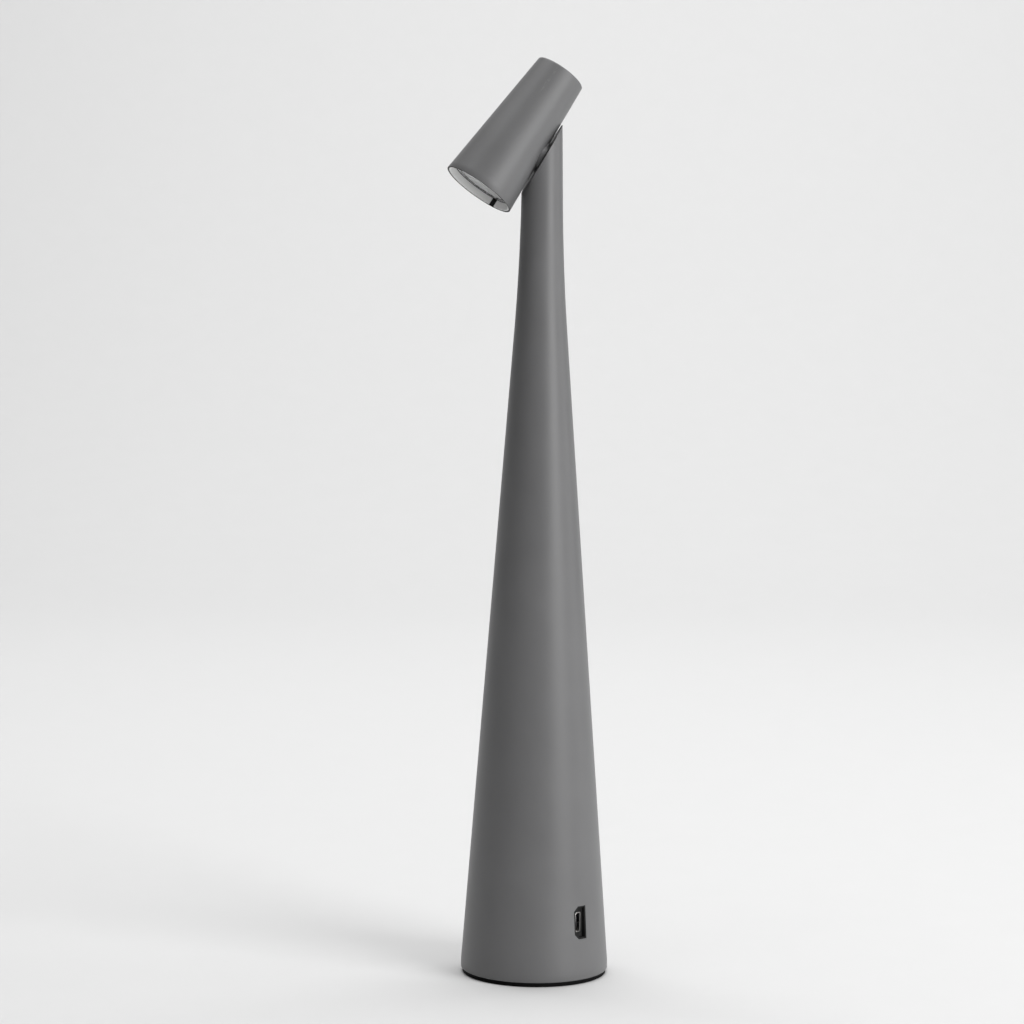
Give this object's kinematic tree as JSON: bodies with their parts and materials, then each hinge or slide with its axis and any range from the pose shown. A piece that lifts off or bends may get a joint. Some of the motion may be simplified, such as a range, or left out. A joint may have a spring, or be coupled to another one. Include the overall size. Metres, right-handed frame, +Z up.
{
  "type": "cordless table lamp",
  "caption": "Slim cone-shaped cordless table lamp on a weighted round foot, with a small tapered spot head that swivels on the column's slanted top.",
  "frame": {"origin": "centre of the foot's flat underside, on the surface that the lamp stands on", "axes": "+Z up the column, -X the side that the column's slanted top looks to, and the side that the head shines to at rest"},
  "size_m": [0.0644, 0.0564, 0.3498],
  "materials": {
    "grey_powder_coat": "fine satin powder coat, mid grey",
    "collar_coat": "satin grey coat on turned steel",
    "hardware_steel": "bright zinc plated",
    "bearing_plastic": "acetal, slippery",
    "foot_rubber": "matt black",
    "plate_steel": "plain pressed steel",
    "cast_weight": "dark cast",
    "black_plastic": "fine matt moulded",
    "contact_brass": "plain spring brass",
    "battery_sleeve": "shrunk-on sleeve",
    "board_laminate": "green solder mask",
    "chip_black": "moulded black",
    "ferrite": "dark ferrite",
    "socket_plastic": "off-white nylon",
    "socket_steel": "tinned steel",
    "lead_jacket": "soft black jacket",
    "bare_aluminium": "machined",
    "sink_aluminium": "die-cast, tumbled",
    "led_board_white": "white mask on metal core",
    "phosphor": "yellow silicone over the light source",
    "reflector_coating": "vacuum metallised",
    "gasket_rubber": "soft silicone",
    "clear_lens": "moulded with a prism ring",
    "pale_ring": "pale satin"
  },
  "bodies": {
    "column": {"column_shell": "grey_powder_coat", "slant_plate": "grey_powder_coat", "stop_pin": "hardware_steel", "bearing_washer": "bearing_plastic", "foot_pad": "foot_rubber", "base_plate": "plate_steel", "base_screws": "hardware_steel", "base_weight": "cast_weight", "battery_cradle": "black_plastic", "cradle_screws": "hardware_steel", "lower_contact": "contact_brass", "upper_contact": "contact_brass", "battery_cell": "battery_sleeve", "control_board": "board_laminate", "board_screws": "hardware_steel", "driver_chips": "chip_black", "inductor": "ferrite", "lead_socket": "socket_plastic", "touch_strip": "contact_brass", "port_insert": "black_plastic", "usb_socket": "socket_steel", "usb_tongue": "chip_black", "charge_board": "board_laminate", "column_lead": "lead_jacket", "charge_lead": "lead_jacket", "return_lead": "lead_jacket"},
    "head": {"head_shell": "grey_powder_coat", "swivel_stud": "collar_coat", "stop_washer": "hardware_steel", "spring_washer": "hardware_steel", "lock_nut": "hardware_steel", "pivot_block": "bare_aluminium", "heat_sink": "sink_aluminium", "heat_sink_screws": "hardware_steel", "led_board": "led_board_white", "led_screws": "hardware_steel", "led_chip": "phosphor", "reflector": "reflector_coating", "lens_gasket": "gasket_rubber", "lens": "clear_lens", "trim_ring": "pale_ring", "head_lead": "lead_jacket"}
  },
  "joints": [
    {"name": "head_swivel", "type": "hinge", "parent": "column", "child": "head", "pos_m": [0, 0, 0.312], "axis": [-0.8599, 0, 0.5105], "range_deg": [-170.5, 158.5]}
  ]
}
